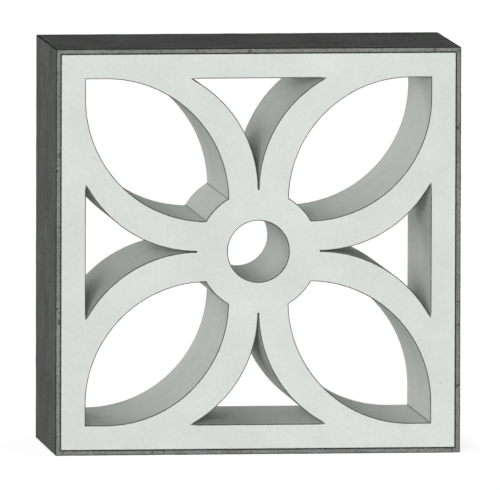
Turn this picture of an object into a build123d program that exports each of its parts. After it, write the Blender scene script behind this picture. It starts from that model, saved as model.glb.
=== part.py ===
"""Pierced ventilation block, laid upright in its mortar.

One square unit of a screen wall: a block cast in one piece and open right through its
depth, and the mortar that beds its four edges. Round a hub with a plain round hole, four
pointed leaves run out to the corners and four slender eyes sit between them, so that
curved webs of even width join the hub to the rim.

Frame, in millimetres: X along the wall, Y through it with the front face towards -Y,
Z up. The origin is the middle of the underside.
"""

from build123d import *

import os
from math import sqrt

# The unit in the wall
module = 400.0  # pitch from one unit to the next, along the wall and up it
joint = 10.0  # whole mortar joint between two blocks; each unit carries half of it
depth = 190.0  # through the wall, front face to back face

# The block's pierced pattern, measured on its face
rim = 25.0  # solid border round the openings
hole_radius = 30.0  # round hole through the middle
hub_radius = 60.0  # solid boss round that hole
web = 30.0  # solid on each side of a centre line, where a web leaves the hub
leaf_flat = 20.0  # straight stretch on each side of a leaf's square corner
eye_half_width = 65.5  # half of the straight side of an eye, along the rim
eye_tip_land = 9.0  # how far an eye's thin tip stops short of the hub's edge

# Worked out from those
block_size = module - joint
opening_half = block_size / 2 - rim
leaf_side = opening_half - web
leaf_centre = web + leaf_side / 2
leaf_bend = leaf_side - leaf_flat
eye_height = opening_half - hub_radius
# an eye's side leaves the hub along the centre line and bends out to meet the rim
eye_bend = (eye_half_width**2 + eye_height**2) / (2 * eye_half_width)
eye_tip_width = 2 * (eye_bend - sqrt(eye_bend**2 - eye_tip_land**2))

# the middle of the face, seen from the front: local X along the wall, local Y up
face_plane = Plane((0, 0, module / 2), x_dir=(1, 0, 0), z_dir=(0, -1, 0))
falling_diagonal = Axis((0, 0, 0), (1, -1, 0))

# One leaf, up and to the right of the hub: a square whose two corners off its own
# diagonal are rounded almost from side to side, and whose inner corner the hub bites off
with BuildSketch() as leaf:
    with Locations((leaf_centre, leaf_centre)):
        Rectangle(leaf_side, leaf_side)
    corners = leaf.vertices().sort_by(falling_diagonal)
    fillet([corners[0], corners[-1]], leaf_bend)
    Circle(hub_radius, mode=Mode.SUBTRACT)

# One eye, above the hub: what two circles that touch the centre line leave below the rim
with BuildSketch() as eye:
    with Locations((0, hub_radius + eye_tip_land)):
        Rectangle(2 * eye_bend, eye_height - eye_tip_land, align=(Align.CENTER, Align.MIN))
    with Locations((-eye_bend, hub_radius), (eye_bend, hub_radius)):
        Circle(eye_bend, mode=Mode.SUBTRACT)

# The block: the square face with its four leaves, four eyes and round hole, cast through
with BuildPart() as ventilation_block:
    with BuildSketch(face_plane):
        Rectangle(block_size, block_size)
        with PolarLocations(0, 4):
            add(leaf.sketch, mode=Mode.SUBTRACT)
            add(eye.sketch, mode=Mode.SUBTRACT)
        Circle(hole_radius, mode=Mode.SUBTRACT)
    extrude(amount=depth / 2, both=True)

# The mortar: a band as deep as the block, on all four edges and flush with both faces
with BuildPart() as mortar_joint:
    with BuildSketch(face_plane):
        Rectangle(module, module)
        Rectangle(block_size, block_size, mode=Mode.SUBTRACT)
    extrude(amount=depth / 2, both=True)

ventilation_block.part.label = "ventilation_block"
mortar_joint.part.label = "mortar_joint"

os.makedirs("parts", exist_ok=True)
export_step(ventilation_block.part, "parts/ventilation_block.step")
export_step(mortar_joint.part, "parts/mortar_joint.step")

print(f"leaf bends at radius {leaf_bend:.1f}, eye sides at radius {eye_bend:.1f}")
print(f"an eye's tip is {eye_tip_width:.2f} wide where it ends")
print(f"block {ventilation_block.part.volume / 1e6:.3f} litres")
print(f"mortar {mortar_joint.part.volume / 1e6:.3f} litres")
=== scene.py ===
# %% [markdown]
# # A pierced concrete ventilation block
#
# A ventilation block is one unit of a screen wall. It is cast in concrete in one piece, and
# its pattern is open from the front face right through to the back, so that air and light
# pass. A thin band of darker mortar beds it on all four edges.
#
# The imported model fixes where everything is. This lesson gives it its looks: a lattice with
# worn arrises painted dark as shade and a fine cast skin, and mortar that looks like sand and
# cement.

import math

import bmesh
import bpy
from mathutils import Matrix, Quaternion, Vector, noise


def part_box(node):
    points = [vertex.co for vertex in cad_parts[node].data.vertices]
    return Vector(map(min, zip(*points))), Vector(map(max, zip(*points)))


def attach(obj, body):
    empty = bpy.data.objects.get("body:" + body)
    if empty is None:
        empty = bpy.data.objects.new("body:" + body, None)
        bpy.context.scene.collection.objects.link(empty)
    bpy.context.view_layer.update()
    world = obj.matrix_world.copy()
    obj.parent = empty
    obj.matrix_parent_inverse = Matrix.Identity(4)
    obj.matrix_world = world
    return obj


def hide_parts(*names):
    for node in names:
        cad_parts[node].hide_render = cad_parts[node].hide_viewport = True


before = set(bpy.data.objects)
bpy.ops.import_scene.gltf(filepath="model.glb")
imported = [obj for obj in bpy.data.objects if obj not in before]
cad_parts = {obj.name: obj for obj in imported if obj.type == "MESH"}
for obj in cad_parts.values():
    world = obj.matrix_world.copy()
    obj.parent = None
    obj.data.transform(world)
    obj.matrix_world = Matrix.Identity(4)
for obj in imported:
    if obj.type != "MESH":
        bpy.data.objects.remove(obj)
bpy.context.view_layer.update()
unit_low, unit_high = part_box("mortar_joint")
block_low, block_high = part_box("ventilation_block")
unit_size = unit_high - unit_low
middle = (block_low + block_high) / 2
print("the unit measures", [round(side, 4) for side in unit_size], "m")

# %% [markdown]
# ## The camera
#
# The picture is almost a flat elevation: edges that run away from the viewer stay parallel.
# A camera far off with a very long lens draws them that way. An orthographic camera would do
# it exactly, but it can't widen its view when someone walks round the object. The camera
# stands a little to the left and a little above, so that the left side and the top show as
# thin strips. It is moved sideways rather than turned, which keeps the face square, and a
# hair of roll shares what slope is left between the level edges and the upright ones.
#
# Its bearing is in degrees. A helper turns a bearing into a direction, and the lamps below
# use it too.

# %% Camera
CAMERA_AZIMUTH = -6.5
CAMERA_HEIGHT = 5.0
CAMERA_ROLL = 0.15
CAMERA_DISTANCE = 20.42
CAMERA_ASIDE = -0.00833
CAMERA_RAISED = 0.00625
CAMERA_SIGHT = 100.0
LENS_MM = 1500.0


def direction(azimuth, height):
    """The unit vector towards a bearing: azimuth from the front, and height above level."""
    around = math.radians(azimuth)
    above = math.radians(height)
    level = math.cos(above)
    return Vector((math.sin(around) * level, -math.cos(around) * level, math.sin(above)))


camera = bpy.data.objects.new("camera", bpy.data.cameras.new("camera"))
bpy.context.scene.collection.objects.link(camera)
bpy.context.scene.camera = camera
camera.data.lens = LENS_MM
camera.data.clip_end = CAMERA_SIGHT
away = direction(CAMERA_AZIMUTH, CAMERA_HEIGHT)
turn = away.to_track_quat("Z", "Y") @ Quaternion((0, 0, 1), math.radians(CAMERA_ROLL))
face_middle = Vector((middle.x, unit_low.y, middle.z))
shift = turn @ Vector((CAMERA_ASIDE, CAMERA_RAISED, 0))
camera.location = face_middle + away * CAMERA_DISTANCE + shift
camera.rotation_euler = turn.to_euler()
print("the camera stands at", [round(part, 3) for part in camera.location])

# %% [markdown]
# ## Small helpers for node trees
#
# A material is a chain of small steps. The first helper adds one step and wires or sets its
# inputs in the same line, so that a material reads from the top down. The others name the
# steps that come most often.


# %% Node helpers
def add_node(tree, kind, inputs=None, **settings):
    """Adds a node. An input that is given a socket is linked, and any other is set."""
    node = tree.nodes.new(kind)
    for name, value in settings.items():
        setattr(node, name, value)
    for name, value in (inputs or {}).items():
        if isinstance(value, bpy.types.NodeSocket):
            tree.links.new(value, node.inputs[name])
        else:
            node.inputs[name].default_value = value
    return node


def new_material(name):
    """An empty material and its tree."""
    material = bpy.data.materials.new(name)
    material.use_nodes = True
    material.node_tree.nodes.clear()
    return material, material.node_tree


def noise_at(tree, place, scale, detail, roughness=0.6):
    """Noise with so many waves a metre."""
    inputs = {"Vector": place, "Scale": scale, "Detail": detail, "Roughness": roughness}
    return add_node(tree, "ShaderNodeTexNoise", inputs).outputs["Fac"]


def ranged(tree, value, low, high, new_low, new_high):
    """Stretches a value from one range to another and holds it there."""
    inputs = {"Value": value, "From Min": low, "From Max": high, "To Min": new_low, "To Max": new_high}
    return add_node(tree, "ShaderNodeMapRange", inputs).outputs["Result"]


def dimmed(tree, colour, share):
    """Multiplies a colour by a single value."""
    inputs = {0: colour, "Scale": share}
    return add_node(tree, "ShaderNodeVectorMath", inputs, operation="SCALE").outputs["Vector"]


def calculated(tree, operation, first, second):
    """Works out one value from two."""
    inputs = {0: first, 1: second}
    return add_node(tree, "ShaderNodeMath", inputs, operation=operation).outputs[0]


# %% [markdown]
# ## The lamps
#
# The front face is the brightest. Faces that look left get about half of its light, and faces
# that look up somewhat less. That is a broad lamp near the camera, a little to the left and a
# little up, and an even glow from all round. Both are scaled so that the front face gets a
# total of one, which makes its colour render as it is written. The walls inside the openings
# are pale too, which takes a second lamp that shines in from behind. It also lights the back
# for someone who walks round, and a third, weak one does so for the right side.


# %% Lamps
def lamp_from(name, azimuth, height, share, softness):
    """A broad lamp as a soft sun; share is what a face turned to it gets, where 1 is full."""
    light = bpy.data.lights.new(name, "SUN")
    light.energy = math.pi * share
    light.angle = math.radians(softness)
    lamp = bpy.data.objects.new(name, light)
    bpy.context.scene.collection.objects.link(lamp)
    lamp.rotation_euler = direction(azimuth, height).to_track_quat("Z", "Y").to_euler()
    print(name, "gives a share of", share)


lamp_from("key_lamp", azimuth=-14, height=4.5, share=0.93, softness=20)
lamp_from("back_lamp", azimuth=-167, height=4, share=0.75, softness=24)
lamp_from("side_lamp", azimuth=105, height=12, share=0.22, softness=40)

# %% [markdown]
# ## The sky
#
# The even glow is the world's own light, at about a quarter of full strength. Behind the
# object, though, there should be white paper. The Light Path node tells the rays that show
# something, straight from the camera or by way of a mirror or glass, from the rays that
# bring light, so that each kind gets a shader of its own.

# %% Sky
SKY_SHARE = 0.24
WHITE = (1, 1, 1, 1)


def shown_or_lighting(tree, shown, lighting):
    """One shader for the rays that show something, and another for the rays that bring light."""
    path = add_node(tree, "ShaderNodeLightPath").outputs
    showing = calculated(tree, "MAXIMUM", path["Is Camera Ray"], path["Is Glossy Ray"])
    showing = calculated(tree, "MAXIMUM", showing, path["Is Transmission Ray"])
    inputs = {0: showing, 1: lighting.outputs[0], 2: shown.outputs[0]}
    return add_node(tree, "ShaderNodeMixShader", inputs)


world = bpy.data.worlds.new("studio")
bpy.context.scene.world = world
world.use_nodes = True
sky = world.node_tree
sky.nodes.clear()
glow = add_node(sky, "ShaderNodeBackground", {"Color": WHITE, "Strength": SKY_SHARE})
paper = add_node(sky, "ShaderNodeBackground", {"Color": WHITE, "Strength": 1.0})
both = shown_or_lighting(sky, shown=paper, lighting=glow)
add_node(sky, "ShaderNodeOutputWorld", {"Surface": both.outputs[0]})
bpy.context.scene.view_settings.view_transform = "Standard"
print("the sky gives a share of", SKY_SHARE)

# %% [markdown]
# ## The floor
#
# The object stands on a plain floor of white paper. The low lamps give an upright face far
# more light than the floor, so the paper would render grey. What is missing to white is
# added only for the rays that show something, so it puts no light on the block, and the
# block's shadow still shows on it.

# %% Floor
FLOOR_RADIUS = 60.0
FLOOR_SIDES = 64
FLOOR_COLOUR = (0.80, 0.80, 0.80, 1)
FLOOR_LIFT = 0.72
BLACK = (0, 0, 0, 1)

floor_material, tree = new_material("paper")
matt = add_node(tree, "ShaderNodeBsdfDiffuse", {"Color": FLOOR_COLOUR})
white = add_node(tree, "ShaderNodeEmission", {"Color": WHITE, "Strength": FLOOR_LIFT})
dark = add_node(tree, "ShaderNodeEmission", {"Color": BLACK, "Strength": 0.0})
lift = shown_or_lighting(tree, shown=white, lighting=dark)
both = add_node(tree, "ShaderNodeAddShader", {0: matt.outputs[0], 1: lift.outputs[0]})
add_node(tree, "ShaderNodeOutputMaterial", {"Surface": both.outputs[0]})

bm = bmesh.new()
bmesh.ops.create_circle(bm, cap_ends=True, radius=FLOOR_RADIUS, segments=FLOOR_SIDES)
floor_mesh = bpy.data.meshes.new("floor")
bm.to_mesh(floor_mesh)
bm.free()
floor_mesh.materials.append(floor_material)
floor = bpy.data.objects.new("floor", floor_mesh)
bpy.context.scene.collection.objects.link(floor)
print("the floor reaches", FLOOR_RADIUS, "m")

# %% [markdown]
# ## Cast concrete
#
# A cast face is pale and almost even. Close up it has the grain of its sand, and soft clouds
# where the mix was wetter. The cores of the mould are drawn out through the block, and leave
# faint streaks that run the same way. All of it is made from noise on the object's own
# coordinates, in metres, so that a scale of 1400 is a grain of 0.7 mm. A picture of concrete
# would have to be laid round every wall of every opening, and noise needs no such care.
# Noise that is stretched along the depth is streaks on the walls and plain grain on the
# faces.

# %% Concrete colour
CONCRETE_LIGHT = (0.735, 0.766, 0.740, 1)
CONCRETE_DARK = (0.665, 0.695, 0.670, 1)
NOISE_LOW = 0.3
NOISE_HIGH = 0.7
GRAIN_SWING = 0.08
STREAK_SWING = 0.025
STREAK_STRETCH = 25


def two_tones(tree, value, low, dark, high, light):
    """Runs from a dark colour, where the value is low, to a light one, where it is high."""
    ramp = add_node(tree, "ShaderNodeValToRGB", {"Fac": value})
    stops = ramp.color_ramp.elements
    stops[0].position = low
    stops[0].color = dark
    stops[1].position = high
    stops[1].color = light
    return ramp.outputs["Color"]


def swung(tree, value, swing):
    """Turns noise into a factor that lies so much above or below one."""
    return ranged(tree, value, NOISE_LOW, NOISE_HIGH, 1 - swing, 1 + swing)


concrete, tree = new_material("cast_concrete")
place = add_node(tree, "ShaderNodeTexCoord").outputs["Object"]
clouds = noise_at(tree, place, scale=14, detail=5)
grain = noise_at(tree, place, scale=1400, detail=4, roughness=0.8)
stretch = {"Vector": place, "Scale": (1.0, 1 / STREAK_STRETCH, 1.0)}
along_depth = add_node(tree, "ShaderNodeMapping", stretch).outputs[0]
streaks = noise_at(tree, along_depth, scale=330, detail=4)
colour = two_tones(tree, clouds, NOISE_LOW, CONCRETE_DARK, NOISE_HIGH, CONCRETE_LIGHT)
colour = dimmed(tree, colour, swung(tree, grain, GRAIN_SWING))
colour = dimmed(tree, colour, swung(tree, streaks, STREAK_SWING))
print("the concrete has", len(tree.nodes), "nodes so far")

# %% [markdown]
# ## Pinholes
#
# Air that is caught against the mould leaves pinholes of up to a millimetre. There are too
# many to model one by one. A Voronoi texture scatters points through the block, and says how
# far the nearest one is and which random colour it has. Three points in ten get a pinhole
# round them. Its radius grows with the square of a point's luck, so most of them are tiny. It
# is painted dark here, as the shade in the hole, and a dent in the next step.

# %% Pinholes
PINHOLE_SHADE_COLOUR = (0.34, 0.35, 0.34, 1)
PINHOLE_SHARE = 0.3
PINHOLE_SIZE = 0.14
PINHOLE_EDGE = 0.05


def scattered_at(tree, place, scale):
    """Scattered points, so many a metre: how far the nearest one is, and its random number."""
    inputs = {"Vector": place, "Scale": scale, "Randomness": 1.0}
    points = add_node(tree, "ShaderNodeTexVoronoi", inputs)
    parts = add_node(tree, "ShaderNodeSeparateColor", {"Color": points.outputs["Color"]})
    return points.outputs["Distance"], parts.outputs["Red"]


distance, luck = scattered_at(tree, place, scale=260)
luck = ranged(tree, luck, 1 - PINHOLE_SHARE, 1.0, 0.0, 1.0)
radius = calculated(tree, "MULTIPLY", calculated(tree, "POWER", luck, 2.0), PINHOLE_SIZE)
reach = calculated(tree, "SUBTRACT", radius, distance)
pinhole = ranged(tree, reach, 0.0, PINHOLE_EDGE, 0.0, 1.0)

# the Mix node has sockets of the same name, so they go by number: 6 and 7 are its colours
# painted shade: each pinhole is darkened as the shade in its hollow
pinhole_shade = {0: pinhole, 6: colour, 7: PINHOLE_SHADE_COLOUR}
colour = add_node(tree, "ShaderNodeMix", pinhole_shade, data_type="RGBA").outputs[2]
print("a pinhole's radius is up to", PINHOLE_SIZE, "of the points' spacing")

# %% [markdown]
# ## Arrises and corners painted dark, and a matt finish
#
# The arrises and the corners of the openings are painted dark as shade. Noise can't know where
# they are, so two attributes of the mesh say it, and noise only makes the lines patchy.
# The one for corners fades from a corner to the next points of the mesh, and a power makes
# that a narrow line. Bumps then bend the shading where the skin, the streaks and the pinholes
# are, each on top of the last. Dry concrete hardly shines, so the surface is rough and has
# almost no gloss.

# %% Concrete finish
ARRIS_SHADE_TONE = 0.06
CORNER_SHADE_NARROWING = 3.5
PATCH_LOW = 0.3
PATCH_HIGH = 0.6
FAINTEST_LINE = 0.8
SKIN_DEPTH = 0.0006
SMOOTHEST = 0.86
ROUGHEST = 0.97


def attribute(tree, name):
    """A number that the mesh carries."""
    return add_node(tree, "ShaderNodeAttribute", attribute_name=name).outputs["Fac"]


def stained(tree, colour, mark, tone):
    """Keeps a colour where the mark is 0, and multiplies it by the tone where it is 1."""
    return dimmed(tree, colour, ranged(tree, mark, 0.0, 1.0, 1.0, tone))


def bumped(tree, height, strength, depth, over=None, invert=False):
    """Bends the shading by a height, on top of another bump where there is one."""
    inputs = {"Height": height, "Strength": strength, "Distance": depth}
    if over is not None:
        inputs["Normal"] = over
    return add_node(tree, "ShaderNodeBump", inputs, invert=invert).outputs[0]


def close_material(tree, colour, roughness, gloss, normal):
    """Ends a material with a surface that has this finish."""
    finish = {"Base Color": colour, "Roughness": roughness, "Normal": normal}
    finish["Specular IOR Level"] = gloss
    surface = add_node(tree, "ShaderNodeBsdfPrincipled", finish)
    add_node(tree, "ShaderNodeOutputMaterial", {"Surface": surface.outputs[0]})


# painted shade along the corners of the openings, narrowed to a line
corner_shade_line = calculated(tree, "POWER", attribute(tree, "corner"), CORNER_SHADE_NARROWING)
lines = calculated(tree, "MAXIMUM", attribute(tree, "arris"), corner_shade_line)
patches = noise_at(tree, place, scale=190, detail=5)
patchy = ranged(tree, patches, PATCH_LOW, PATCH_HIGH, FAINTEST_LINE, 1.0)
# painted shade: the arrises and the corners are darkened almost to black, in patchy lines
colour = stained(tree, colour, calculated(tree, "MULTIPLY", lines, patchy), ARRIS_SHADE_TONE)

skin = noise_at(tree, place, scale=260, detail=6, roughness=0.7)
bumps = bumped(tree, skin, strength=0.3, depth=SKIN_DEPTH)
bumps = bumped(tree, streaks, strength=0.25, depth=SKIN_DEPTH, over=bumps)
bumps = bumped(tree, pinhole, strength=0.8, depth=SKIN_DEPTH, over=bumps, invert=True)
roughness = ranged(tree, clouds, NOISE_LOW, NOISE_HIGH, SMOOTHEST, ROUGHEST)
close_material(tree, colour, roughness, gloss=0.05, normal=bumps)
print("the concrete has", len(tree.nodes), "nodes in all")

# %% [markdown]
# ## Mortar
#
# Mortar is sand held by grey cement, struck flush with a trowel. Its grains are coarser than
# the concrete's skin, and show as specks of lighter and darker sand. Noise alone would make
# it cloudy, so the specks are scattered points again: round each lies a grain with a tone of
# its own, and between the grains is cement.

# %% Mortar colour
MORTAR_LIGHT = (0.300, 0.310, 0.299, 1)
MORTAR_DARK = (0.171, 0.178, 0.171, 1)
MORTAR_LOW = 0.36
MORTAR_HIGH = 0.64
SAND_SHARE = 0.55
CEMENT_TONE = 0.96
GRAIN_DARKEST = 0.66
GRAIN_LIGHTEST = 1.42
GRAIN_CORE = 0.30
GRAIN_REACH = 0.48


def blended(tree, share, first, second):
    """Goes from a first value to a second; 2 and 3 are the numbers of their sockets."""
    inputs = {0: share, 2: first, 3: second}
    return add_node(tree, "ShaderNodeMix", inputs, data_type="FLOAT").outputs[0]


mortar, tree = new_material("sand_mortar")
place = add_node(tree, "ShaderNodeTexCoord").outputs["Object"]
clouds = noise_at(tree, place, scale=22, detail=5)
sand = noise_at(tree, place, scale=520, detail=4, roughness=0.65)
mixed = blended(tree, SAND_SHARE, clouds, sand)
colour = two_tones(tree, mixed, MORTAR_LOW, MORTAR_DARK, MORTAR_HIGH, MORTAR_LIGHT)
distance, kind = scattered_at(tree, place, scale=620)
grain_tone = ranged(tree, kind, 0.0, 1.0, GRAIN_DARKEST, GRAIN_LIGHTEST)
in_grain = ranged(tree, distance, GRAIN_CORE, GRAIN_REACH, 1.0, 0.0)
colour = dimmed(tree, colour, blended(tree, in_grain, CEMENT_TONE, grain_tone))
print("the mortar has", len(tree.nodes), "nodes so far")

# %% [markdown]
# ## Voids, painted side shade and a rough finish
#
# Here and there the mortar has a small void, where noise is at its lowest, and it is painted
# dark as the shade in its hollow. Where it is bedded against the next course it is painted
# darker as shade, most of all on the top and the underside, and its edges are painted dark as
# lines of shade. Attributes of the mesh say where these are. The lumps, the sand and the
# grains are bumps as well, so that the surface is as rough as it looks.

# %% Mortar finish
VOID_LOW = 0.34
VOID_HIGH = 0.40
VOID_SHADE_TONE = 0.45
SIDE_SHADE_TONE = 0.60
EDGE_SHADE_TONE = 0.14

lumps = noise_at(tree, place, scale=170, detail=4)
# painted shade: where the noise is lowest the mortar is darkened as the shade in a void
void_shade = ranged(tree, lumps, VOID_LOW, VOID_HIGH, 1.0, 0.0)
colour = stained(tree, colour, void_shade, VOID_SHADE_TONE)
# painted shade: the top and the underside are darkened, and the two ends a little less
colour = stained(tree, colour, attribute(tree, "side_shade"), SIDE_SHADE_TONE)
# painted shade: the mortar's rounded edges, outside and at the seam, are darkened
colour = stained(tree, colour, attribute(tree, "arris"), EDGE_SHADE_TONE)
bumps = bumped(tree, lumps, strength=0.7, depth=0.0020)
bumps = bumped(tree, sand, strength=0.6, depth=0.0010, over=bumps)
bumps = bumped(tree, in_grain, strength=0.5, depth=0.0004, over=bumps)
close_material(tree, colour, roughness=0.95, gloss=0.0, normal=bumps)
print("the mortar has", len(tree.nodes), "nodes in all")

# %% [markdown]
# ## The pattern's measures
#
# The pattern is all straight lines and arcs of circles, the same in every quarter of the
# face. A pointed leaf fills most of each quarter: a square whose two opposite corners are
# rounded almost from side to side. Four eyes lie on the centre lines, each of them half in one
# quarter and half in the next. Their sides meet in cusps at the hub. The solid model stops
# a cusp where it is two thirds of a millimetre wide, and here it runs on as the hairline that
# a core's feather edge leaves, almost to the hub.

# %% Measures, in metres
RIM = 0.025
HOLE_RADIUS = 0.030
HUB_RADIUS = 0.060
WEB = 0.030
LEAF_FLAT = 0.020
EYE_HALF_WIDTH = 0.0655
EYE_TIP_LAND = 0.0015

half_size = (block_high.x - block_low.x) / 2
opening_half = half_size - RIM
leaf_bend = opening_half - WEB - LEAF_FLAT
leaf_centre = Vector((WEB + leaf_bend, opening_half - leaf_bend))
eye_height = opening_half - HUB_RADIUS
eye_bend = (EYE_HALF_WIDTH**2 + eye_height**2) / (2 * EYE_HALF_WIDTH)
eye_centre = Vector((eye_bend, HUB_RADIUS))
print(f"leaf arcs {leaf_bend * 1000:.1f} mm, eye arcs {eye_bend * 1000:.1f} mm")

# %% [markdown]
# ## Points and arcs
#
# The outline could be a long list of points, but then no size in it could be read or changed.
# Instead each arc is a single point that is spun round its centre, which leaves a chain of
# edges behind it. Straight stretches join the arcs' ends.

# %% Outline helpers
ARC_STEP = 0.0035


def point(bm, x, z):
    """A point in the plane of the face."""
    return bm.verts.new((x, 0, z))


def arc(bm, start, centre, degrees):
    """Spins a point in the plane of the face and returns the last point of the chain."""
    radius = (Vector((start.co.x, start.co.z)) - centre).length
    steps = max(2, round(radius * abs(math.radians(degrees)) / ARC_STEP))
    spun = bmesh.ops.spin(
        bm,
        geom=[start],
        cent=(centre.x, 0, centre.y),
        axis=(0, 1, 0),
        angle=-math.radians(degrees),
        steps=steps,
        use_duplicate=False,
    )
    return next(item for item in spun["geom_last"] if isinstance(item, bmesh.types.BMVert))


def bearing(centre, x, z):
    """The direction of a point from a centre, in degrees, counted from +X towards +Z."""
    return math.degrees(math.atan2(z - centre.y, x - centre.x))


# %% [markdown]
# ## The hole, the eye and the outer edge
#
# Only an eighth of the face is drawn, between the upright centre line and the diagonal, and
# mirrors make the rest. This cell draws what lies on the centre line: the round hole, half
# an eye with its blunt tip, and the outer edge.

# %% Hole, eye and outer edge
DIAGONAL = 45
STRAIGHT_UP = 90
CORNER_FADE = 0.005

outline = bmesh.new()
middle_of_face = Vector((0, 0))

# the round hole, from the centre line to the diagonal
hole_top = point(outline, 0, HOLE_RADIUS)
hole_end = arc(outline, hole_top, middle_of_face, DIAGONAL - STRAIGHT_UP)

# the eye's side, from its blunt tip to the rim, with a point close to the corner
tip_x = eye_bend - math.sqrt(eye_bend**2 - EYE_TIP_LAND**2)
tip_z = HUB_RADIUS + EYE_TIP_LAND
tip_middle = point(outline, 0, tip_z)
tip_side = point(outline, tip_x, tip_z)
outline.edges.new((tip_middle, tip_side))
eye_sweep = bearing(eye_centre, EYE_HALF_WIDTH, opening_half) - bearing(eye_centre, tip_x, tip_z)
eye_corner = arc(outline, tip_side, eye_centre, eye_sweep)
eye_shoulder = point(outline, EYE_HALF_WIDTH - CORNER_FADE, opening_half)
eye_top = point(outline, 0, opening_half)
outline.edges.new((eye_corner, eye_shoulder))
outline.edges.new((eye_shoulder, eye_top))

# the outer edge, from the centre line to the corner
outer_top = point(outline, 0, half_size)
outer_corner = point(outline, half_size, half_size)
outline.edges.new((outer_top, outer_corner))

# solid stretches along the centre line
outline.edges.new((hole_top, tip_middle))
outline.edges.new((eye_top, outer_top))
print(f"the eye's tip is {tip_x * 2e6:.0f} micrometres wide")

# %% [markdown]
# ## The leaf
#
# The hub's circle bites off the leaf's inner corner. The bite starts where that circle and
# the leaf's long arc cross: so far along the line between their centres, and so far aside
# of it. Both arcs are spun from that point, and a straight runs on to the square corner.

# %% Leaf
span = leaf_centre.length
along = (HUB_RADIUS**2 - leaf_bend**2 + span**2) / (2 * span)
aside = math.sqrt(HUB_RADIUS**2 - along**2)
towards = leaf_centre.normalized()
bite = towards * along + Vector((-towards.y, towards.x)) * aside
bite_point = point(outline, bite.x, bite.y)
bite_sweep = DIAGONAL - bearing(middle_of_face, bite.x, bite.y)
bite_end = arc(outline, bite_point, middle_of_face, bite_sweep)
leaf_sweep = STRAIGHT_UP - bearing(leaf_centre, bite.x, bite.y)
leaf_end = arc(outline, bite_point, leaf_centre, leaf_sweep)
leaf_corner = point(outline, opening_half, opening_half)
outline.edges.new((leaf_end, leaf_corner))

# solid stretches along the diagonal
outline.edges.new((hole_end, bite_end))
outline.edges.new((leaf_corner, outer_corner))
print("an eighth of the face has", len(outline.edges), "outline edges")

# %% [markdown]
# ## Fill and mirror
#
# The outline is filled with triangles. A mirror across the diagonal makes a quarter, and two
# more make the whole face. The mirror only works across an axis, so for the first one the
# diagonal is turned onto an axis and back again. Points that come within a thousandth of a
# millimetre of each other are merged.

# %% The face
SAME_PLACE = 1e-6


def all_of(bm):
    """Every point, edge and face."""
    return bm.verts[:] + bm.edges[:] + bm.faces[:]


def mirror_across(bm, axis):
    """Adds the mirror image, and merges the points that meet."""
    bmesh.ops.mirror(bm, geom=all_of(bm), merge_dist=SAME_PLACE, axis=axis)


bmesh.ops.triangle_fill(outline, use_beauty=True, use_dissolve=False, edges=outline.edges[:])
eighth_turn = Matrix.Rotation(math.radians(DIAGONAL), 3, "Y")
bmesh.ops.rotate(outline, verts=outline.verts[:], cent=(0, 0, 0), matrix=eighth_turn)
mirror_across(outline, "Z")
bmesh.ops.rotate(outline, verts=outline.verts[:], cent=(0, 0, 0), matrix=eighth_turn.inverted())
mirror_across(outline, "X")
mirror_across(outline, "Z")
bmesh.ops.remove_doubles(outline, verts=outline.verts[:], dist=SAME_PLACE)
print("the face has", len(outline.faces), "triangles")

# %% [markdown]
# ## Depth
#
# The face is drawn through the block's whole depth, which makes every wall of every opening
# in one step, as the mould's cores do.

# %% Extrude
block = outline
extruded = bmesh.ops.extrude_face_region(block, geom=block.faces[:], use_keep_orig=True)
far_points = [item for item in extruded["geom"] if isinstance(item, bmesh.types.BMVert)]
depth = block_high.y - block_low.y
bmesh.ops.translate(block, verts=far_points, vec=(0, depth, 0))
bmesh.ops.translate(block, verts=block.verts[:], vec=(middle.x, block_low.y, middle.z))
bmesh.ops.recalc_face_normals(block, faces=block.faces[:])
print("edges without two faces:", sum(len(edge.link_faces) != 2 for edge in block.edges))
print(f"the block holds {block.calc_volume(signed=True) * 1000:.3f} litres")

# %% [markdown]
# ## Rounded arrises
#
# No cast edge is sharp: the mould's corner and the first knocks leave it about a millimetre
# round. The rounding also leaves a fine groove where the block meets its mortar. A bevel of
# a few segments is that rounding. Its faces are marked, so that the material can paint them
# dark as shade.

# %% Arrises
ARRIS_RADIUS = 0.0010
ARRIS_ANGLE = math.radians(60)


def face_arrises(bm, low_y, high_y):
    """The sharp edges that lie in the front face or in the back face."""
    found = []
    for edge in bm.edges:
        ends = [vert.co.y for vert in edge.verts]
        in_front = all(abs(y - low_y) < SAME_PLACE for y in ends)
        in_back = all(abs(y - high_y) < SAME_PLACE for y in ends)
        if (in_front or in_back) and edge.calc_face_angle(0) > ARRIS_ANGLE:
            found.append(edge)
    return found


def round_edges(bm, edges, radius, segments):
    """Rounds the edges and gives the new faces a 1 in the attribute arris."""
    mark = bm.faces.layers.float["arris"]
    rounded = bmesh.ops.bevel(
        bm,
        geom=edges,
        offset=radius,
        offset_type="OFFSET",
        segments=segments,
        profile=0.5,
        affect="EDGES",
        clamp_overlap=False,
        loop_slide=False,
        material=-1,
    )
    for face in rounded["faces"]:
        face[mark] = 1.0


block.faces.layers.float.new("arris")
arrises = face_arrises(block, block_low.y, block_high.y)
round_edges(block, arrises, ARRIS_RADIUS, segments=3)
print(len(arrises), "edges rounded")

# %% [markdown]
# ## Roundings that run out at the eyes' corners
#
# At the rim the two sides of an eye meet at less than 30 degrees. A bevel keeps its full
# width right into such a corner, so its outline runs out four times as far as it is wide. On
# a casting it fades there, because little can break off. So the points that the bevel put
# beyond each corner are drawn back towards it, and the outline has a point close to each
# corner where the fading starts. All eight corners are alike: a point is folded into one of
# them by dropping its signs and taking the smaller distance first. Only a point that lies
# nearly straight beyond the corner counts, which its direction's cosine tells.

# %% Sharp corners
SPIKE_KEPT = 0.33
SPIKE_AIM = 0.9
ON_THE_CORNER = ARRIS_RADIUS / 10

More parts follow.
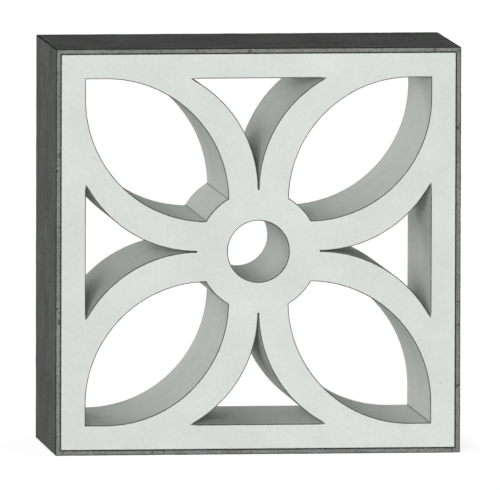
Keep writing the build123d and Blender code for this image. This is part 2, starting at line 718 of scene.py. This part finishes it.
side_run = Vector((eye_height, eye_bend - EYE_HALF_WIDTH)) / eye_bend
outwards = (side_run + Vector((1, 0))).normalized()
sharp_corner = Vector((EYE_HALF_WIDTH, opening_half))
drawn = 0
for vert in block.verts:
    x = vert.co.x - middle.x
    z = vert.co.z - middle.z
    spike = Vector(sorted((abs(x), abs(z)))) - sharp_corner
    beyond = spike.dot(outwards) > SPIKE_AIM * spike.length
    if beyond and ON_THE_CORNER < spike.length < CORNER_FADE:
        back = spike * (SPIKE_KEPT - 1)
        back_x, back_z = (back.x, back.y) if abs(x) < abs(z) else (back.y, back.x)
        vert.co.x += math.copysign(1, x) * back_x
        vert.co.z += math.copysign(1, z) * back_z
        drawn += 1
print(drawn, "points drawn in")

# %% [markdown]
# ## Cells
#
# The uneven skin needs small cells that can be moved a little each. The block is cut along
# planes that cross, as on graph paper, and a plane that passes within 0.3 mm of a point goes
# through it, so that few slivers are left. Then the walls of the openings are cut across from
# front to back. The outer walls lie against the mortar and do without these last cuts.

# %% Cells
CELL = 0.005
WALL_CELL = 0.0075
SNAP = 0.0003
PARALLEL = 0.999
CLOSE = 1e-5
X, Y, Z = 0, 1, 2


def cut_along(bm, axis):
    """Cuts every face along planes that stand one cell apart, the first of them half a cell in."""
    normal = Vector((0, 0, 0))
    normal[axis] = 1
    for i in range(math.ceil((block_high[axis] - block_low[axis]) / CELL)):
        place = normal * (block_low[axis] + (i + 0.5) * CELL)
        bmesh.ops.bisect_plane(bm, geom=all_of(bm), dist=SNAP, plane_co=place, plane_no=normal)


def runs_along(edge, axis):
    """True for an edge that lies along an axis."""
    run = edge.verts[1].co - edge.verts[0].co
    return abs(run[axis]) > PARALLEL * run.length


def long_edges(bm, axis, length):
    """The edges that lie along an axis and span more than half of the length."""
    return [edge for edge in bm.edges if runs_along(edge, axis) and edge.calc_length() > length / 2]


def cut_across(bm, edges, length, cell):
    """Cuts long edges into cells, and the faces between them as well."""
    cuts = round(length / cell) - 1
    bmesh.ops.subdivide_edges(bm, edges=edges, cuts=cuts, use_grid_fill=True)


def off_centre(vert, centre):
    """The distance of a point from a centre, sideways or upwards, whichever is more."""
    run = vert.co - centre
    return max(abs(run.x), abs(run.z))


def on_the_outside(vert):
    """True for a point of the block's outer walls."""
    return off_centre(vert, middle) > half_size - CLOSE


cut_along(block, X)
cut_along(block, Z)
through = [edge for edge in long_edges(block, Y, depth) if not on_the_outside(edge.verts[0])]
cut_across(block, through, depth, WALL_CELL)
print("the block has", len(block.faces), "faces")

# %% [markdown]
# ## Corners of the openings
#
# Where two walls of an opening meet, the mould's cores were joined. The points along that
# corner are marked with a second attribute, and the material paints them dark as shade.

# %% Corners
CORNER_ANGLE = math.radians(30)

corner_shade_mark = block.verts.layers.float.new("corner")
for edge in block.edges:
    if runs_along(edge, Y) and edge.calc_face_angle(0) > CORNER_ANGLE:
        for vert in edge.verts:
            vert[corner_shade_mark] = 1.0
print(sum(vert[corner_shade_mark] > 0 for vert in block.verts), "points lie along corners")

# %% [markdown]
# ## An uneven skin
#
# A mould is never quite flat, and concrete shrinks as it sets. Every point but those of the
# outer walls is moved inwards along its normal by a tenth or two of a millimetre, by noise
# with two sizes of wave. Moving inwards only keeps the block inside its real size. A bump in
# the material would shade the same, but the silhouette and the arrises would stay too straight.

# %% Unevenness
SKIN_WAVES = ((0.050, 0.00018), (0.011, 0.00010))


def noise_share(place):
    """Noise from 0 to 1, made from the kind that runs from -1 to 1."""
    return 0.5 + 0.5 * noise.noise(place)


def roughen(bm, waves, skip):
    """Moves points inwards by noise; waves are pairs of a length and a depth, in metres."""
    bm.normal_update()
    shifts = []
    for vert in bm.verts:
        if not skip(vert):
            inwards = sum(deep * noise_share(vert.co / size) for size, deep in waves)
            shifts.append((vert, vert.normal * -inwards))
    for vert, shift in shifts:
        vert.co += shift
    print(len(shifts), "points moved inwards")


roughen(block, SKIN_WAVES, skip=on_the_outside)

# %% [markdown]
# ## Hand a finished piece to the scene
#
# Edges that turn sharply stay sharp and all others shade smoothly. Weighted normals let the
# broad faces rule the shading beside a narrow rounding, which keeps flat faces flat.

# %% Finish a piece
SHARP_ANGLE = math.radians(38)


def finish_piece(bm, name, material, node):
    """Makes a mesh a piece of the scene, in place of its solid."""
    bmesh.ops.recalc_face_normals(bm, faces=bm.faces[:])
    for face in bm.faces:
        face.smooth = True
    for edge in bm.edges:
        edge.smooth = edge.calc_face_angle(0) < SHARP_ANGLE
    mesh = bpy.data.meshes.new(name)
    bm.to_mesh(mesh)
    bm.free()
    mesh.materials.append(material)
    piece = bpy.data.objects.new(name, mesh)
    bpy.context.scene.collection.objects.link(piece)
    weighted = piece.modifiers.new("flat_faces_stay_flat", "WEIGHTED_NORMAL")
    weighted.keep_sharp = True
    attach(piece, "root")
    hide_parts(node)
    triangles = sum(len(polygon.vertices) - 2 for polygon in mesh.polygons)
    print(name, "has", triangles, "triangles")


finish_piece(block, "lattice_block", concrete, "ventilation_block")

# %% [markdown]
# ## The mortar band
#
# The mortar is a square tube as deep as the block, with walls as thick as half a joint. Four
# separate strips would show a seam at each corner. So a box is inset on its front and back
# by that much, the inset faces come out, and a bridge between the two holes makes the inner
# walls.

# %% Mortar tube
tube = bmesh.new()
tube.faces.layers.float.new("arris")
unit_middle = (unit_low + unit_high) / 2
joint_width = block_low.x - unit_low.x
bmesh.ops.create_cube(tube, size=1.0)
bmesh.ops.scale(tube, vec=unit_size, verts=tube.verts[:])
bmesh.ops.translate(tube, vec=unit_middle, verts=tube.verts[:])
ends = [face for face in tube.faces if round(abs(face.normal.y)) == 1]
bmesh.ops.inset_individual(tube, faces=ends, thickness=joint_width, use_even_offset=True)
rims = [edge for face in ends for edge in face.edges]
bmesh.ops.delete(tube, geom=ends, context="FACES_ONLY")
bmesh.ops.bridge_loops(tube, edges=rims)
bmesh.ops.recalc_face_normals(tube, faces=tube.faces[:])
print(f"the mortar is {joint_width * 1000:.1f} mm thick")

# %% [markdown]
# ## Crumbled edges
#
# Mortar is softer than concrete and its edges crumble. They are rounded as much as the
# block's arrises outside, and barely where they meet the block, so that the seam between the
# two stays fine.

# %% Mortar edges
JOINT_EDGE = 0.0010
SEAM_EDGE = 0.0004

half_unit = unit_size.x / 2
outer_edges = []
for edge in tube.edges:
    if all(off_centre(vert, unit_middle) > half_unit - SAME_PLACE for vert in edge.verts):
        outer_edges.append(edge)
round_edges(tube, outer_edges, JOINT_EDGE, segments=2)
seam_edges = face_arrises(tube, unit_low.y, unit_high.y)
round_edges(tube, seam_edges, SEAM_EDGE, segments=1)
print(len(outer_edges), "outer edges and", len(seam_edges), "seam edges rounded")

# %% [markdown]
# ## Cells of the mortar
#
# The mortar needs small cells too, for its rough skin. Its walls are long plain strips, so
# no planes are needed: the edges from front to back are cut first, and then the ones along
# the four sides.

# %% Mortar cells
MORTAR_CELL = 0.004

cut_across(tube, long_edges(tube, Y, unit_size.y), unit_size.y, MORTAR_CELL)
lengthwise = long_edges(tube, X, unit_size.x) + long_edges(tube, Z, unit_size.z)
cut_across(tube, lengthwise, unit_size.x, MORTAR_CELL)
print("the mortar has", len(tube.faces), "faces")

# %% [markdown]
# ## Painted shade on the mortar's sides
#
# The outer faces, where the mortar is bedded, are marked for painted shade, fully on the top
# and the underside and a good half on the two ends, so that they render darker than the front.
# The front and the back, which the trowel struck, aren't.

# %% Painted side shade
END_SHADE_SHARE = 0.62

side_shade_mark = tube.verts.layers.float.new("side_shade")
for vert in tube.verts:
    run = vert.co - unit_middle
    side = END_SHADE_SHARE if abs(run.x) > abs(run.z) else 1.0
    inset = half_unit - off_centre(vert, unit_middle)
    vert[side_shade_mark] = side * max(0.0, 1.0 - inset / JOINT_EDGE)
print(sum(vert[side_shade_mark] > 0 for vert in tube.verts), "points lie on bedded faces")

# %% [markdown]
# ## A rough skin
#
# Mortar is struck by hand, so it is rougher than the cast block. The same helper moves its
# points inwards, with shorter and deeper waves, and leaves out the inner walls, which lie
# against the block.

# %% Rough mortar
MORTAR_WAVES = ((0.020, 0.00025), (0.006, 0.00025))


def against_the_block(vert):
    """True for a point of the mortar's inner walls."""
    return off_centre(vert, unit_middle) < half_size + CLOSE


roughen(tube, MORTAR_WAVES, skip=against_the_block)
finish_piece(tube, "mortar_band", mortar, "mortar_joint")
